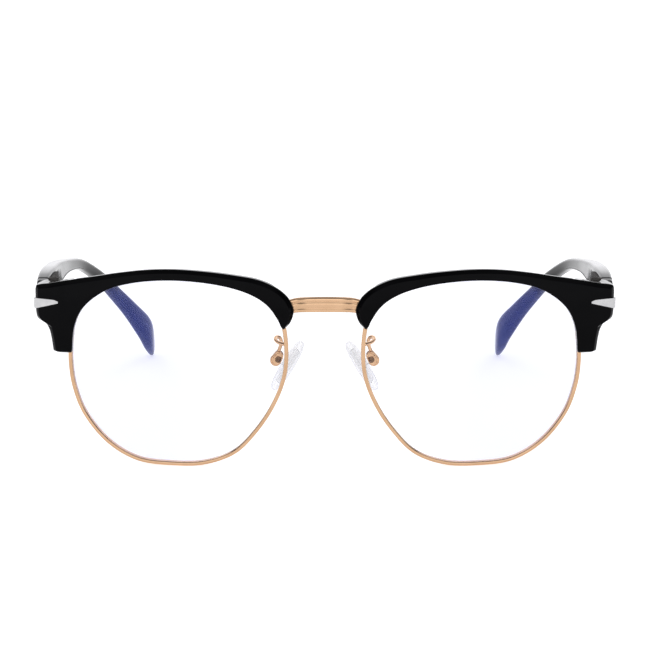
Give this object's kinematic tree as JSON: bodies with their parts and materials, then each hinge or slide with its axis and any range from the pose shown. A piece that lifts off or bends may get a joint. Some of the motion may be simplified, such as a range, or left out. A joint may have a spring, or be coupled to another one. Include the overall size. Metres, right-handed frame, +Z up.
{
  "type": "half rim eyeglasses",
  "caption": "Folding half rim browline eyeglasses: glossy dark brow bars over thin metal rims with clear lenses, a ridged metal bridge, rocking nose pads and bent temples.",
  "frame": {"origin": "middle of the footprint, on the plane the two rims and two temple tips stand on", "axes": "+X to the wearer's left, -Y the way the front faces, +Y along the temples, +Z up"},
  "size_m": [0.1438, 0.137, 0.0494],
  "materials": {
    "acetate": "polished black acetate",
    "gold": "polished rose gold plating",
    "silver": "polished silver trim",
    "lens": "clear with a faint blue violet coating",
    "silicone": "clear silicone",
    "pad_core": "clear stiff insert",
    "steel": "satin nickel"
  },
  "bodies": {
    "front": {"brow_left": "acetate", "brow_right": "acetate", "eyewire_left": "gold", "eyewire_right": "gold", "lens_left": "lens", "lens_right": "lens", "inlay_left": "silver", "inlay_right": "silver", "brow_tabs_left": "gold", "brow_tabs_right": "gold", "brow_screws_left": "steel", "brow_screws_right": "steel", "rim_lock_upper_left": "gold", "rim_lock_upper_right": "gold", "rim_lock_lower_left": "gold", "rim_lock_lower_right": "gold", "rim_lock_screw_left": "steel", "rim_lock_screw_right": "steel", "pad_arm_left": "gold", "pad_arm_right": "gold", "pad_box_left": "gold", "pad_box_right": "gold", "pad_screw_left": "gold", "pad_screw_right": "gold", "hinge_front_left": "steel", "hinge_front_right": "steel", "hinge_rivets_left": "steel", "hinge_rivets_right": "steel", "hinge_screw_left": "steel", "hinge_screw_right": "steel", "bridge": "gold"},
    "temple_left_body": {"temple_left": "acetate", "temple_core_left": "steel", "hinge_temple_left": "steel", "temple_rivets_left": "steel"},
    "temple_right_body": {"temple_right": "acetate", "temple_core_right": "steel", "hinge_temple_right": "steel", "temple_rivets_right": "steel"},
    "pad_left_body": {"nose_pad_left": "silicone", "pad_core_left": "pad_core"},
    "pad_right_body": {"nose_pad_right": "silicone", "pad_core_right": "pad_core"}
  },
  "joints": [
    {"name": "temple_left_fold", "type": "hinge", "parent": "front", "child": "temple_left_body", "pos_m": [0.0666, -0.05348, 0.04165], "axis": [0, 0, 1], "range_deg": [0, 84]},
    {"name": "temple_right_fold", "type": "hinge", "parent": "front", "child": "temple_right_body", "pos_m": [-0.0666, -0.05348, 0.04165], "axis": [0, 0, -1], "range_deg": [0, 79]},
    {"name": "nose_pad_left_rock", "type": "hinge", "parent": "front", "child": "pad_left_body", "pos_m": [0.01146, -0.05768, 0.02567], "axis": [0, 1, 0], "range_deg": [-8, 8]},
    {"name": "nose_pad_right_rock", "type": "hinge", "parent": "front", "child": "pad_right_body", "pos_m": [-0.01146, -0.05768, 0.02567], "axis": [0, -1, 0], "range_deg": [-8, 8]}
  ]
}
